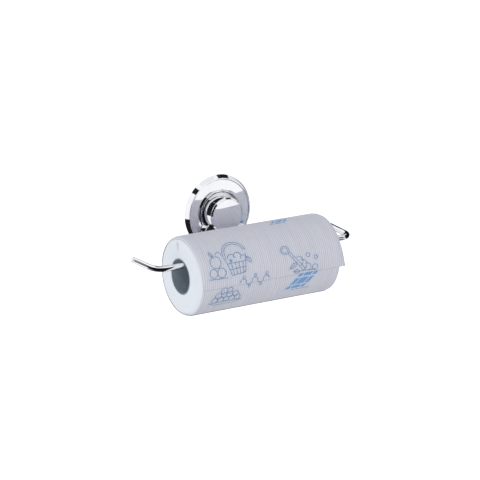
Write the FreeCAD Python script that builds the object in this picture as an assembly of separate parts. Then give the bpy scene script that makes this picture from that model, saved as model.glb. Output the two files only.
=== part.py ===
import FreeCAD, Part
import math
import os

V = FreeCAD.Vector
TOLERANCE = 1e-3

# Wall-mounted paper towel holder with a screw-down suction mount, in millimetres.
# The wall is the plane y = 0. +X runs along the wall to the right, +Y points into the wall, +Z is up.
# The suction mount's axis is the Y axis. "Depth" is the distance in front of the wall, which is -y.
# At rest the knob is screwed down and the mount is locked to the wall.

# Chrome housing: a shallow cone whose front face rises slightly towards the middle, inside a raised rim
HOUSING_REAR_R = 53.2
HOUSING_RIM_R = 48.8
HOUSING_REAR_DEPTH = 0.8
HOUSING_RIM_DEPTH = 8.3
FACE_RIM_DEPTH = 6.7
FACE_DEPTH = 7.3
FACE_FLAT_R = 34.6
FACE_UNDER_DEPTH = 4.0
HOUSING_WALL_T = 1.6
HOUSING_HOLE_R = 20.0
NOTCH_TOP_R = 38.0
RIM_LAND_W = 1.6
RIM_STEP_W = 0.6
FACE_BLEND_R = 10.0

# Suction pad, its moulded-in flange and the stud
PAD_R = 50.6
PAD_RIM_T = 1.8
PAD_BOSS_R = 16.3
PAD_BOSS_DEPTH = 5.5
PAD_SHOULDER_R = 20.3
PAD_SHOULDER_BLEND_R = 3.0
FLANGE_R = 13.0
FLANGE_REAR = 3.2
FLANGE_T = 1.2
SOFT_GAP = 0.3
TAB_W = 16.0
TAB_T = 1.5
TAB_END_Z = -60.0
TAB_GAP = 1.0
TAB_OVERLAP = 6.0
STUD_R = 4.0
STUD_TIP = 24.5
THREAD_START = 15.5
THREAD_PITCH = 1.25
THREAD_DEPTH = 0.6
THREAD_END_CHAMFER = 0.6
STUD_FLATS = 6.4
STUD_FLATS_END = 14.5

# Pressure plate, which presses the pad's rim to the wall
PLATE_R = 50.0
PLATE_TOP_R = 49.0
PLATE_FOOT_R = 43.0
PLATE_REAR = 2.4
PLATE_FRONT = FACE_UNDER_DEPTH
PLATE_DOME_R = 19.4
PLATE_DOME_INNER_R = 17.8
PLATE_HOLLOW_R = 21.3
PLATE_DOME_REAR = 5.9
PLATE_DOME_FRONT = 7.6
KEY_CLEARANCE = 0.06

# Collar ring and cast bracket body with the rod socket
COLLAR_FOOT_R = 32.4
COLLAR_TOP_R = 31.7
COLLAR_INNER_R = 30.4
COLLAR_FRONT = 9.7
COLLAR_HOLE_R = 20.5
COLLAR_NOTCH_R = 10.7
BODY_REAR = 8.2
BODY_FRONT = 25.3
BODY_REAR_R = 30.2
BODY_FRONT_R = 25.2
CAVITY_R = 15.0
WEB_T = 3.5
SOCKET_X = -20.1
SOCKET_Z = -21.6
SOCKET_R = 10.6
SOCKET_BORE_R = 8.8
SOCKET_FLOOR = 10.5
SOCKET_MOUTH = 19.0
SOCKET_EDGE_R = 0.7
POCKET_R = 11.5
BUSH_MOUTH = 18.1
BUSH_CLEARANCE = 0.05
RECESS_CLEARANCE = 0.1

# Screws that hold the bracket body, the collar ring, the housing and the pressure plate together
SCREW_COUNT = 3
SCREW_CIRCLE_R = 24.2
SCREW_R = 1.5
SCREW_HEAD_R = 3.0
SCREW_HEAD_REAR = 2.5
SCREW_TIP = 15.0
SCREW_CLEARANCE = 0.05
SCREW_NECK = 0.1

# Knob
KNOB_R = 25.2
KNOB_REAR = 25.7
KNOB_EDGE = 26.3
KNOB_FRONT = 28.5
KNOB_BEVEL_R = 23.5
KNOB_DISC_R = 23.0
KNOB_DISC_FRONT = 29.9
KNOB_DOME_R = 190.0
KNOB_FLOOR = 27.4
DISC_CLEARANCE = 0.1
HUB_R = 10.44
HUB_BORE_R = 10.5
HUB_REAR = 17.4
HUB_SHOULDER_T = 1.2
STUD_HOLE_R = 4.6
NUT_FLATS = 13.0
NUT_T = 6.5
NUT_BORE_R = 4.05
NUT_CLEARANCE = 0.06
RETAINER_R = 9.4
RETAINER_T = 0.8
O_RING_SECTION_R = 0.7
O_RING_DEPTH = 23.2
O_RING_R = 9.74
O_RING_CLEARANCE = 0.1
CLIP_REAR = 20.6
CLIP_T = 1.0
CLIP_INNER_R = 9.3
CLIP_OUTER_R = 12.6
CLIP_GAP_DEG = 50.0
WASHER_INNER_R = 10.7
WASHER_R = 16.0
WASHER_REAR = 24.7

# Bent rod
ROD_R = 4.0
ROD_RUN_DEPTH = 28.5
ROD_FRONT_DEPTH = 96.6
ROD_REAR_Z = -33.6
ROD_FRONT_Z = -36.35
ROD_RIGHT_X = 159.8
ROD_DIP_X = -12.0
ROD_TIP_X = -188.6
ROD_TIP_Z = -15.4
ROD_TIP_DEG = 30.0
ROD_SOCKET_BEND_R = 9.0
ROD_DIP_BEND_R = 9.5
ROD_CORNER_BEND_R = 15.0
ROD_TIP_BEND_R = 60.0
ROD_EDGE = 0.8
ROD_END_GAP = 0.2
GRUB_R = 2.0
GRUB_LENGTH = 5.9
GRUB_KEY_FLATS = 2.0
GRUB_KEY_DEPTH = 2.0

# Paper roll on its cardboard core, and its outermost turns, wound askew to the right
ROLL_LEFT_X = -111.0
ROLL_WIDTH = 225.0
ROLL_Y = -89.0
ROLL_Z = -54.0
CORE_INNER_R = 23.4
CORE_T = 1.2
PAPER_R = 54.0
PAPER_EDGE_R = 3.0
SHEET_GAP = 0.1
SHEET_T = 0.5
SHEET_TAIL_DEG = -7.5
SHEET_SWEEP_DEG = 300.0
SHEET_OVERHANG = 5.5

# How far a cutting tool runs past the face that it opens
PAST = 1.0


def rounded_wire(corners, place):
    """A closed wire through corners (a, b, radius), where place turns (a, b) into a point."""
    count = len(corners)
    starts, ends, middles = [], [], []
    for i in range(count):
        before = V(*corners[i - 1][:2], 0)
        here = V(*corners[i][:2], 0)
        after = V(*corners[(i + 1) % count][:2], 0)
        radius = corners[i][2] if len(corners[i]) > 2 else 0.0
        back = (before - here).normalize()
        on = (after - here).normalize()
        if radius == 0.0:
            starts.append(here)
            ends.append(here)
            middles.append(None)
            continue
        half = back.getAngle(on) / 2.0
        cut = radius / math.tan(half)
        bisector = (back + on).normalize()
        starts.append(here + back * cut)
        ends.append(here + on * cut)
        middles.append(here + bisector * (radius / math.sin(half) - radius))
    edges = []
    for i in range(count):
        if middles[i] is not None:
            points = [place(p.x, p.y) for p in (starts[i], middles[i], ends[i])]
            edges.append(Part.Arc(*points).toShape())
        j = (i + 1) % count
        if ends[i].distanceToPoint(starts[j]) > TOLERANCE:
            edges.append(Part.makeLine(place(ends[i].x, ends[i].y), place(starts[j].x, starts[j].y)))
    return Part.Wire(edges)


def turned(corners):
    """A body of revolution about the mount's axis, from corners (radius, depth, rounding)."""
    wire = rounded_wire(corners, lambda r, depth: V(r, -depth, 0))
    return Part.Face(wire).revolve(V(0, 0, 0), V(0, 1, 0), 360)


def round_bar(x, z, r, rear, front):
    """A cylinder parallel to the mount's axis, from depth rear to depth front."""
    return Part.makeCylinder(r, front - rear, V(x, -rear, z), V(0, -1, 0))


def hexagon_bar(flats, rear, front):
    """A hexagonal bar on the mount's axis."""
    r = flats / math.sqrt(3.0)
    points = [V(r * math.cos(k * math.pi / 3), -rear, r * math.sin(k * math.pi / 3)) for k in range(7)]
    return Part.Face(Part.makePolygon(points)).extrude(V(0, rear - front, 0))


def screw_places():
    """The screw axes, spread evenly and clear of the rod socket."""
    first = math.atan2(SOCKET_Z, SOCKET_X) + math.pi
    for k in range(SCREW_COUNT):
        angle = first + 2 * math.pi * k / SCREW_COUNT
        yield SCREW_CIRCLE_R * math.cos(angle), SCREW_CIRCLE_R * math.sin(angle)


def screw_shape(x, z, extra):
    """A countersunk screw, or its hole when extra is a clearance."""
    shank = round_bar(x, z, SCREW_R + extra, PLATE_FRONT - SCREW_NECK, SCREW_TIP + extra)
    head = Part.makeCone(
        SCREW_HEAD_R + extra,
        SCREW_R + extra,
        PLATE_FRONT - SCREW_HEAD_REAR,
        V(x, -SCREW_HEAD_REAR, z),
        V(0, -1, 0),
    )
    return shank.fuse(head)


def cut_screw_holes(shape):
    for x, z in screw_places():
        shape = shape.cut(screw_shape(x, z, SCREW_CLEARANCE))
    return shape


def make_suction_pad():
    pad = turned([
        (0, 0), (PAD_R, 0, 0.4), (PAD_R, PAD_RIM_T, 0.6), (PAD_SHOULDER_R, PAD_RIM_T, PAD_SHOULDER_BLEND_R),
        (PAD_BOSS_R, PAD_BOSS_DEPTH, 0.8), (0, PAD_BOSS_DEPTH),
    ])
    tab_length = -TAB_END_Z - TAB_W / 2
    tab = Part.makeBox(TAB_W, TAB_T, tab_length - PAD_R + TAB_OVERLAP, V(-TAB_W / 2, -TAB_T, -tab_length))
    tab = tab.fuse(round_bar(0, -tab_length, TAB_W / 2, 0, TAB_T))
    pocket_r = FLANGE_R + SOFT_GAP
    pocket_rear = FLANGE_REAR - SOFT_GAP
    pocket_front = FLANGE_REAR + FLANGE_T + SOFT_GAP
    neck_r = STUD_R + SOFT_GAP
    pocket = turned([
        (0, pocket_rear), (pocket_r, pocket_rear), (pocket_r, pocket_front), (neck_r, pocket_front),
        (neck_r, PAD_BOSS_DEPTH + PAST), (0, PAD_BOSS_DEPTH + PAST),
    ])
    return pad.fuse(tab).cut(pocket).removeSplitter()


def make_stud_flange():
    front = FLANGE_REAR + FLANGE_T
    return turned([(STUD_R, FLANGE_REAR), (FLANGE_R, FLANGE_REAR), (FLANGE_R, front), (STUD_R, front)])


def make_threaded_stud():
    corners = [(0, FLANGE_REAR), (STUD_R, FLANGE_REAR), (STUD_R, THREAD_START)]
    depth = THREAD_START
    while depth + THREAD_PITCH < STUD_TIP - THREAD_END_CHAMFER:
        corners.append((STUD_R - THREAD_DEPTH, depth + THREAD_PITCH / 2))
        corners.append((STUD_R, depth + THREAD_PITCH))
        depth += THREAD_PITCH
    corners += [(STUD_R - THREAD_DEPTH, STUD_TIP), (0, STUD_TIP)]
    stud = turned(corners)
    keyed_from = FLANGE_REAR + FLANGE_T
    for side in (-1, 1):
        left = STUD_FLATS / 2 if side > 0 else -STUD_FLATS / 2 - STUD_R
        corner = V(left, -STUD_FLATS_END, -STUD_R)
        flat = Part.makeBox(STUD_R, STUD_FLATS_END - keyed_from, 2 * STUD_R, corner)
        stud = stud.cut(flat)
    return stud


def make_pressure_plate():
    plate = turned([
        (0, PLATE_DOME_REAR), (PLATE_DOME_INNER_R, PLATE_DOME_REAR), (PLATE_HOLLOW_R, PLATE_REAR),
        (PLATE_FOOT_R, PLATE_REAR), (PLATE_FOOT_R, PAD_RIM_T), (PLATE_R, PAD_RIM_T), (PLATE_R, PLATE_REAR),
        (PLATE_TOP_R, PLATE_FRONT), (PLATE_DOME_R, PLATE_FRONT), (PLATE_DOME_R, PLATE_DOME_FRONT),
        (0, PLATE_DOME_FRONT),
    ])
    hole = round_bar(0, 0, STUD_R + KEY_CLEARANCE, PLATE_DOME_REAR - PAST, PLATE_DOME_FRONT + PAST)
    width = STUD_FLATS + 2 * KEY_CLEARANCE
    thickness = PLATE_DOME_FRONT - PLATE_DOME_REAR + 2 * PAST
    corner = V(-width / 2, -PLATE_DOME_FRONT - PAST, -2 * STUD_R)
    keyhole = Part.makeBox(width, thickness, 4 * STUD_R, corner)
    return cut_screw_holes(plate.cut(hole.common(keyhole)))


def make_housing():
    slope = (HOUSING_REAR_R - HOUSING_RIM_R) / (HOUSING_RIM_DEPTH - HOUSING_REAR_DEPTH)
    inner_rear_r = HOUSING_REAR_R - HOUSING_WALL_T
    under = FACE_UNDER_DEPTH
    inner_top_r = inner_rear_r - slope * (under - HOUSING_REAR_DEPTH)
    rim_inner_r = HOUSING_RIM_R - RIM_LAND_W
    shell = turned([
        (HOUSING_HOLE_R, under), (inner_top_r, under, 0.4), (inner_rear_r, HOUSING_REAR_DEPTH),
        (HOUSING_REAR_R, HOUSING_REAR_DEPTH, 0.4), (HOUSING_RIM_R, HOUSING_RIM_DEPTH, 0.7),
        (rim_inner_r, HOUSING_RIM_DEPTH, 0.4), (rim_inner_r - RIM_STEP_W, FACE_RIM_DEPTH, 0.5),
        (FACE_FLAT_R, FACE_DEPTH, FACE_BLEND_R), (HOUSING_HOLE_R, FACE_DEPTH),
    ])
    notch_w = TAB_W + 2 * TAB_GAP
    notch_t = TAB_T + TAB_GAP
    notch_low = -HOUSING_REAR_R - PAST
    notch_h = -NOTCH_TOP_R - notch_low
    notch = Part.makeBox(notch_w, notch_t, notch_h, V(-notch_w / 2, -notch_t, notch_low))
    return cut_screw_holes(shell.cut(notch))


def make_collar_ring():
    """A ring under the bracket body, with a raised lip around its foot that stops at the rod socket."""
    ring = turned([
        (COLLAR_HOLE_R, FACE_DEPTH), (COLLAR_FOOT_R, FACE_DEPTH), (COLLAR_TOP_R, COLLAR_FRONT, 0.35),
        (COLLAR_INNER_R, COLLAR_FRONT, 0.15), (COLLAR_INNER_R, BODY_REAR), (COLLAR_HOLE_R, BODY_REAR),
    ])
    notch = round_bar(SOCKET_X, SOCKET_Z, COLLAR_NOTCH_R, BODY_REAR, COLLAR_FRONT + PAST)
    return cut_screw_holes(ring.cut(notch))


def make_bracket_body():
    cone = turned([
        (0, BODY_REAR), (BODY_REAR_R, BODY_REAR, 0.5), (BODY_FRONT_R, BODY_FRONT, 0.4), (0, BODY_FRONT),
    ])
    socket = round_bar(SOCKET_X, SOCKET_Z, SOCKET_R, BODY_REAR, SOCKET_MOUTH)
    mouth_edges = [e for e in socket.Edges if e.BoundBox.YMax < TOLERANCE - SOCKET_MOUTH]
    socket = socket.makeFillet(SOCKET_EDGE_R, mouth_edges)
    pocket = round_bar(SOCKET_X, SOCKET_Z, POCKET_R, SOCKET_MOUTH, BODY_FRONT + PAST)
    body = cone.cut(pocket).fuse(socket)
    body = body.cut(round_bar(SOCKET_X, SOCKET_Z, SOCKET_BORE_R, SOCKET_FLOOR, SOCKET_MOUTH + PAST))
    body = body.cut(round_bar(0, 0, CAVITY_R, BODY_REAR - PAST, BODY_FRONT - WEB_T))
    body = body.cut(round_bar(0, 0, HUB_BORE_R, BODY_REAR, BODY_FRONT + PAST))
    body = body.cut(round_bar(0, 0, WASHER_R + RECESS_CLEARANCE, WASHER_REAR, BODY_FRONT + PAST))
    return cut_screw_holes(body.cut(grub_hole())).removeSplitter()


def grub_y():
    return -(SOCKET_FLOOR + BUSH_MOUTH) / 2


def grub_hole():
    """The hole for the grub screw, from the rod's axis down out of the socket."""
    return Part.makeCylinder(GRUB_R, SOCKET_R + PAST, V(SOCKET_X, grub_y(), SOCKET_Z), V(0, 0, -1))


def make_rod_bush():
    bush = round_bar(SOCKET_X, SOCKET_Z, SOCKET_BORE_R, SOCKET_FLOOR, BUSH_MOUTH)
    bore = round_bar(SOCKET_X, SOCKET_Z, ROD_R + BUSH_CLEARANCE, SOCKET_FLOOR - PAST, BUSH_MOUTH + PAST)
    return bush.cut(bore).cut(grub_hole())


def make_rod_grub_screw():
    top = SOCKET_Z - ROD_R - BUSH_CLEARANCE
    screw = Part.makeCylinder(GRUB_R, GRUB_LENGTH, V(SOCKET_X, grub_y(), top), V(0, 0, -1))
    key_r = GRUB_KEY_FLATS / math.sqrt(3.0)
    base = top - GRUB_LENGTH
    points = [
        V(SOCKET_X + key_r * math.cos(k * math.pi / 3), grub_y() + key_r * math.sin(k * math.pi / 3), base)
        for k in range(7)
    ]
    key = Part.Face(Part.makePolygon(points)).extrude(V(0, 0, GRUB_KEY_DEPTH))
    return screw.cut(key)


def bent_path(points, radii):
    """Straight runs joined by tangent arcs; radii holds one bend radius for each inner point."""
    edges = []
    start = points[0]
    for i in range(1, len(points) - 1):
        here = points[i]
        back = (points[i - 1] - here).normalize()
        on = (points[i + 1] - here).normalize()
        half = back.getAngle(on) / 2.0
        cut = radii[i - 1] / math.tan(half)
        bisector = (back + on).normalize()
        middle = here + bisector * (radii[i - 1] / math.sin(half) - radii[i - 1])
        edges.append(Part.makeLine(start, here + back * cut))
        edges.append(Part.Arc(here + back * cut, middle, here + on * cut).toShape())
        start = here + on * cut
    edges.append(Part.makeLine(start, points[-1]))
    return Part.Wire(edges)


def make_towel_rod():
    tip_run = (ROD_TIP_Z - ROD_FRONT_Z) / math.tan(math.radians(ROD_TIP_DEG))
    points = [
        V(SOCKET_X, -SOCKET_FLOOR - ROD_END_GAP, SOCKET_Z),
        V(SOCKET_X, -ROD_RUN_DEPTH, SOCKET_Z),
        V(ROD_DIP_X, -ROD_RUN_DEPTH, ROD_REAR_Z),
        V(ROD_RIGHT_X, -ROD_RUN_DEPTH, ROD_REAR_Z),
        V(ROD_RIGHT_X, -ROD_FRONT_DEPTH, ROD_FRONT_Z),
        V(ROD_TIP_X + tip_run, -ROD_FRONT_DEPTH, ROD_FRONT_Z),
        V(ROD_TIP_X, -ROD_FRONT_DEPTH, ROD_TIP_Z),
    ]
    radii = [ROD_SOCKET_BEND_R, ROD_DIP_BEND_R, ROD_CORNER_BEND_R, ROD_CORNER_BEND_R, ROD_TIP_BEND_R]
    path = bent_path(points, radii)
    section = Part.Wire(Part.makeCircle(ROD_R, points[0], V(0, -1, 0)))
    rod = path.makePipeShell([section], True, False)
    tip = points[-1]
    tip_edges = [e for e in rod.Edges if e.BoundBox.Center.distanceToPoint(tip) < ROD_EDGE]
    return rod.makeFillet(ROD_EDGE, tip_edges)


def make_knob_shell():
    seat_r = KNOB_DISC_R + DISC_CLEARANCE
    shell = turned([
        (0, HUB_REAR), (HUB_R, HUB_REAR), (HUB_R, KNOB_REAR), (KNOB_R, KNOB_REAR, 0.2),
        (KNOB_R, KNOB_EDGE, 0.4), (KNOB_BEVEL_R, KNOB_FRONT, 0.4), (seat_r, KNOB_FRONT),
        (seat_r, KNOB_FLOOR), (0, KNOB_FLOOR),
    ])
    pocket_floor = HUB_REAR + HUB_SHOULDER_T
    shell = shell.cut(hexagon_bar(NUT_FLATS + 2 * NUT_CLEARANCE, pocket_floor, pocket_floor + NUT_T))
    shell = shell.cut(round_bar(0, 0, RETAINER_R, pocket_floor + NUT_T, KNOB_FLOOR + PAST))
    shell = shell.cut(round_bar(0, 0, STUD_HOLE_R, HUB_REAR - PAST, KNOB_FLOOR))
    half_groove = O_RING_SECTION_R + O_RING_CLEARANCE
    ring_groove = (O_RING_R - O_RING_SECTION_R, O_RING_DEPTH - half_groove, O_RING_DEPTH + half_groove)
    clip_groove = (CLIP_INNER_R, CLIP_REAR, CLIP_REAR + CLIP_T)
    outside = HUB_R + PAST
    for r, rear, front in (ring_groove, clip_groove):
        shell = shell.cut(turned([(r, rear), (outside, rear), (outside, front), (r, front)]))
    return shell


def make_knob_face_disc():
    disc = round_bar(0, 0, KNOB_DISC_R, KNOB_FLOOR, KNOB_DISC_FRONT + PAST)
    dome = Part.makeSphere(KNOB_DOME_R, V(0, KNOB_DOME_R - KNOB_DISC_FRONT, 0))
    return disc.common(dome)


def make_knob_nut():
    rear = HUB_REAR + HUB_SHOULDER_T
    nut = hexagon_bar(NUT_FLATS, rear, rear + NUT_T)
    return nut.cut(round_bar(0, 0, NUT_BORE_R, rear - PAST, rear + NUT_T + PAST))


def make_nut_retainer():
    rear = HUB_REAR + HUB_SHOULDER_T + NUT_T
    front = rear + RETAINER_T
    disc = round_bar(0, 0, RETAINER_R, rear, front)
    return disc.cut(round_bar(0, 0, STUD_HOLE_R, rear - PAST, front + PAST))


def make_hub_o_ring():
    return Part.makeTorus(O_RING_R, O_RING_SECTION_R, V(0, -O_RING_DEPTH, 0), V(0, 1, 0))


def make_hub_clip():
    front = CLIP_REAR + CLIP_T
    clip = turned([
        (CLIP_INNER_R, CLIP_REAR), (CLIP_OUTER_R, CLIP_REAR), (CLIP_OUTER_R, front), (CLIP_INNER_R, front),
    ])
    half = math.radians(CLIP_GAP_DEG / 2)
    reach = 2 * CLIP_OUTER_R
    behind = PAST - CLIP_REAR
    points = [
        V(0, behind, 0),
        V(reach * math.cos(half), behind, reach * math.sin(half)),
        V(reach * math.cos(half), behind, -reach * math.sin(half)),
        V(0, behind, 0),
    ]
    gap = Part.Face(Part.makePolygon(points)).extrude(V(0, -CLIP_T - 2 * PAST, 0))
    return clip.cut(gap)


def make_thrust_washer():
    return turned([
        (WASHER_INNER_R, WASHER_REAR), (WASHER_R, WASHER_REAR),
        (WASHER_R, KNOB_REAR), (WASHER_INNER_R, KNOB_REAR),
    ])


def tube(outer_r, inner_r, left, width):
    """A tube on the roll's axis."""
    base = V(left, ROLL_Y, ROLL_Z)
    outer = Part.makeCylinder(outer_r, width, base, V(1, 0, 0))
    return outer.cut(Part.makeCylinder(inner_r, width, base, V(1, 0, 0)))


def make_paper_roll():
    inner_r = CORE_INNER_R + CORE_T
    right = ROLL_LEFT_X + ROLL_WIDTH
    corners = [
        (ROLL_LEFT_X, inner_r), (ROLL_LEFT_X, PAPER_R, PAPER_EDGE_R), (right, PAPER_R, PAPER_EDGE_R),
        (right, inner_r),
    ]
    wire = rounded_wire(corners, lambda x, r: V(x, ROLL_Y, ROLL_Z + r))
    return Part.Face(wire).revolve(V(0, ROLL_Y, ROLL_Z), V(1, 0, 0), 360)


def make_outer_sheet():
    """The outermost turns of paper, as one thin open shell from the free edge up over the roll."""
    inner_r = PAPER_R + SHEET_GAP
    outer_r = inner_r + SHEET_T
    left = ROLL_LEFT_X + SHEET_OVERHANG
    right = left + ROLL_WIDTH
    corners = [(left, inner_r), (left, outer_r), (right, outer_r), (right, inner_r)]
    angle = math.radians(SHEET_TAIL_DEG)
    # the free edge faces away from the wall, SHEET_TAIL_DEG above the horizontal
    wire = rounded_wire(
        corners,
        lambda x, r: V(x, ROLL_Y - r * math.cos(angle), ROLL_Z + r * math.sin(angle)),
    )
    return Part.Face(wire).revolve(V(0, ROLL_Y, ROLL_Z), V(-1, 0, 0), SHEET_SWEEP_DEG)


def make_bracket_screws():
    return Part.makeCompound([screw_shape(x, z, 0.0) for x, z in screw_places()])


NODES = {
    "suction_pad": make_suction_pad,
    "stud_flange": make_stud_flange,
    "threaded_stud": make_threaded_stud,
    "pressure_plate": make_pressure_plate,
    "housing": make_housing,
    "collar_ring": make_collar_ring,
    "bracket_body": make_bracket_body,
    "bracket_screws": make_bracket_screws,
    "rod_bush": make_rod_bush,
    "rod_grub_screw": make_rod_grub_screw,
    "towel_rod": make_towel_rod,
    "thrust_washer": make_thrust_washer,
    "knob_shell": make_knob_shell,
    "knob_face_disc": make_knob_face_disc,
    "knob_nut": make_knob_nut,
    "nut_retainer": make_nut_retainer,
    "hub_o_ring": make_hub_o_ring,
    "hub_clip": make_hub_clip,
    "core_tube": lambda: tube(CORE_INNER_R + CORE_T, CORE_INNER_R, ROLL_LEFT_X, ROLL_WIDTH),
    "paper_roll": make_paper_roll,
    "outer_sheet": make_outer_sheet,
}


os.makedirs("parts", exist_ok=True)
for name, make in NODES.items():
    make().exportStep(f"parts/{name}.step")
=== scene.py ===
import math

import bmesh
import bpy
import numpy as np
from mathutils import Matrix, Vector


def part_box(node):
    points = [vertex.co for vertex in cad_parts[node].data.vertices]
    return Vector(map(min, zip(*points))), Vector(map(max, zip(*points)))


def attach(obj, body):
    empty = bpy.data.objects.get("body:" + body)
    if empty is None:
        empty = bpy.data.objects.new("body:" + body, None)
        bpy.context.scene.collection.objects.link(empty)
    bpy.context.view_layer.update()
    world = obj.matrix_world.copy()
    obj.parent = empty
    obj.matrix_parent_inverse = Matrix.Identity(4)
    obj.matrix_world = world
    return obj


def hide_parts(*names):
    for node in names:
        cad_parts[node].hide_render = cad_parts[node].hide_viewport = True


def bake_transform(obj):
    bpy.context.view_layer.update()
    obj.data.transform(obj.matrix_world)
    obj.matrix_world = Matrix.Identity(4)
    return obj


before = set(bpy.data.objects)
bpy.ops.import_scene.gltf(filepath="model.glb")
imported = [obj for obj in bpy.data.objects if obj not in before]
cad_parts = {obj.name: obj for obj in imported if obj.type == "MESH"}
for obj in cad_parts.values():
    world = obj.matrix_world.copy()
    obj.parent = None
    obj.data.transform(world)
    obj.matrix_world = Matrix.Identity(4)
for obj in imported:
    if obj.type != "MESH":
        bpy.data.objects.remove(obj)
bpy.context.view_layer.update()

bl_info = {
    "name": "Paper towel holder",
    "version": (1, 0, 0),
    "blender": (4, 5, 0),
    "location": "View3D > Sidebar > Towel holder",
    "description": "Finishes and soft pieces for a wall-mounted paper towel holder with a kitchen roll",
    "category": "Object",
}

MM = 0.001
CHROME_NODES = ("housing", "collar_ring", "bracket_body", "knob_shell", "knob_face_disc", "towel_rod")
STEEL_NODES = (
    "stud_flange", "threaded_stud", "bracket_screws", "rod_grub_screw", "nut_retainer", "hub_clip")
PAPER_LOW, PAPER_HIGH = (Vector(corner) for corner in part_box("paper_roll"))
ROLL_MIDDLE = (PAPER_LOW + PAPER_HIGH) / 2
PAPER_RADIUS = (PAPER_HIGH.z - PAPER_LOW.z) / 2
CORE_LOW, CORE_HIGH = (Vector(corner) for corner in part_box("core_tube"))
CORE_OUTER_RADIUS = (CORE_HIGH.z - CORE_LOW.z) / 2
FLANGE_LOW, FLANGE_HIGH = (Vector(corner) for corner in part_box("stud_flange"))
PAD_LOW, PAD_HIGH = (Vector(corner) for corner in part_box("suction_pad"))


# Settings

# The outer sheet's line of slits: how far round from the roll's level front it lies, going down,
# and how far apart its ties are
TEAR_LINE_MM = 152.0
TIE_STEP_MM = 5.0

# The print on the web comes twice in one turn of the roll, and starts a little below the level front
PRINT_RADIUS_MM = PAPER_RADIUS / MM + 0.4
PRINT_REPEAT_MM = math.pi * PRINT_RADIUS_MM
PRINT_START_MM = -40.0

# How far round from the level front the wound paper's left end is pressed in, and how wide the dent is
DENT_ANGLE = math.radians(100.0)
DENT_WIDTH = math.radians(5.0)

# Dark cards round the stage that only show in the chrome. Each has a bearing from the wall's inward side,
# half its width, a height and half its height, in degrees, and its darkness.
DARK_CARDS = {
    "rim top": (71.0, 6.0, 48.0, 13.5, 1.0),
    "rim upper left": (-98.0, 5.5, 51.0, 7.5, 1.0),
    "rim lower left": (-83.0, 11.5, -41.0, 20.0, 1.0),
    "boss left": (-62.0, 15.0, 28.0, 36.0, 1.0),
    "arch over the boss": (-6.0, 50.0, 61.0, 8.5, 1.0),
    "tall left": (-118.0, 13.5, 12.0, 43.0, 1.0),
    "low front": (-178.0, 11.5, -1.0, 17.0, 1.0),
    "rod front": (143.0, 9.0, 19.0, 17.0, 1.0),
    "knob bevel": (96.0, 12.0, 52.0, 15.0, 1.0),
    "rod below front": (147.0, 15.0, -45.0, 27.0, 1.0),
    "rod underside": (85.0, 64.0, -64.0, 14.0, 1.0),
    "rod rear": (47.5, 3.0, 12.0, 6.5, 1.0),
    "pale cap": (0.0, 181.0, 82.0, 12.0, 0.12),
}

# Upright black flags beside the rod: two lower corners (x, y), the bottom and the top
BLACK_FLAGS = {
    "left_flag": ((-0.055, -0.3), (0.05, -0.3), -0.25, 0.0),
    "right_flag": ((0.27, -0.2), (0.27, 0.04), -0.13, 0.06),
    "rear_flag": ((0.175, 0.04), (0.27, 0.04), -0.12, 0.06),
    "near_flag": ((-0.115, -0.033), (-0.052, -0.033), -0.10, 0.02),
}


class HolderSizes(bpy.types.PropertyGroup):
    edge_rounding: bpy.props.FloatProperty(
        name="Roll edge rounding", description="How far the soft ends of the wound paper are rounded",
        default=0.0065, min=0.001, max=0.02, unit="LENGTH")
    wound_turns: bpy.props.IntProperty(
        name="Wound turns", description="Turns of paper that show as fine ridges on each end",
        default=20, min=4, max=60)
    ridge_size: bpy.props.FloatProperty(
        name="Ridge size", description="Half the width of one paper ridge on the ends",
        default=0.00026, min=0.0001, max=0.002, unit="LENGTH")
    sheet_width: bpy.props.FloatProperty(
        name="Sheet width", description="Width of the paper web",
        default=0.225, min=0.1, max=0.4, unit="LENGTH")
    sheet_thickness: bpy.props.FloatProperty(
        name="Sheet thickness", description="Thickness of the embossed outer sheet",
        default=0.0004, min=0.0001, max=0.002, unit="LENGTH")
    sheet_turn: bpy.props.FloatProperty(
        name="Sheet turn", description="How far the outer sheet goes round the roll",
        default=math.radians(298), subtype="ANGLE")
    free_edge: bpy.props.FloatProperty(
        name="Free edge", description="Where the free edge lies, from the level line in front of the roll",
        default=math.radians(-7.5), subtype="ANGLE")
    overhang: bpy.props.FloatProperty(
        name="Overhang", description="How far the skewed free corner stands past the end of the roll",
        default=0.0054, min=0.0, max=0.02, unit="LENGTH")
    emboss_pitch: bpy.props.FloatProperty(
        name="Embossing pitch", description="Distance between the embossed rows, in millimetres",
        default=3.1, min=1.0, max=8.0)
    grip_ribs: bpy.props.IntProperty(
        name="Grip ribs", description="Fine radial ribs on the suction pad's wall side",
        default=48, min=8, max=120)


def colour_setting(name, finish_of, default):
    return bpy.props.FloatVectorProperty(
        name=name, description="Colour of " + finish_of, default=default, size=3, subtype="COLOR",
        min=0.0, max=1.0)


class HolderColours(bpy.types.PropertyGroup):
    chrome: colour_setting("Chrome", "the chrome plating", (0.93, 0.935, 0.95))
    zinc: colour_setting("Zinc-plated steel", "the hidden steel fittings", (0.56, 0.57, 0.58))
    brass: colour_setting("Brass", "the knob's nut", (0.72, 0.5, 0.2))
    paper: colour_setting("Paper", "the wound paper's ends", (0.86, 0.9, 0.95))
    # The sheet colour is well darker than the paper colour of the same tissue: painted shade for the roll's
    # side.
    sheet: colour_setting("Sheet", "the embossed sheet", (0.70, 0.725, 0.79))
    ink: colour_setting("Ink", "the printed lines", (0.10, 0.18, 0.34))
    ink_fill: colour_setting("Ink fill", "the printed solid patches", (0.1, 0.34, 0.68))
    board: colour_setting("Board", "the grey board of the core", (0.3, 0.36, 0.41))
    pad: colour_setting("Pad", "the soft clear suction pad", (0.74, 0.8, 0.84))


def sizes():
    return bpy.context.scene.towel_holder_sizes


def colours():
    return bpy.context.scene.towel_holder_colours


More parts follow.
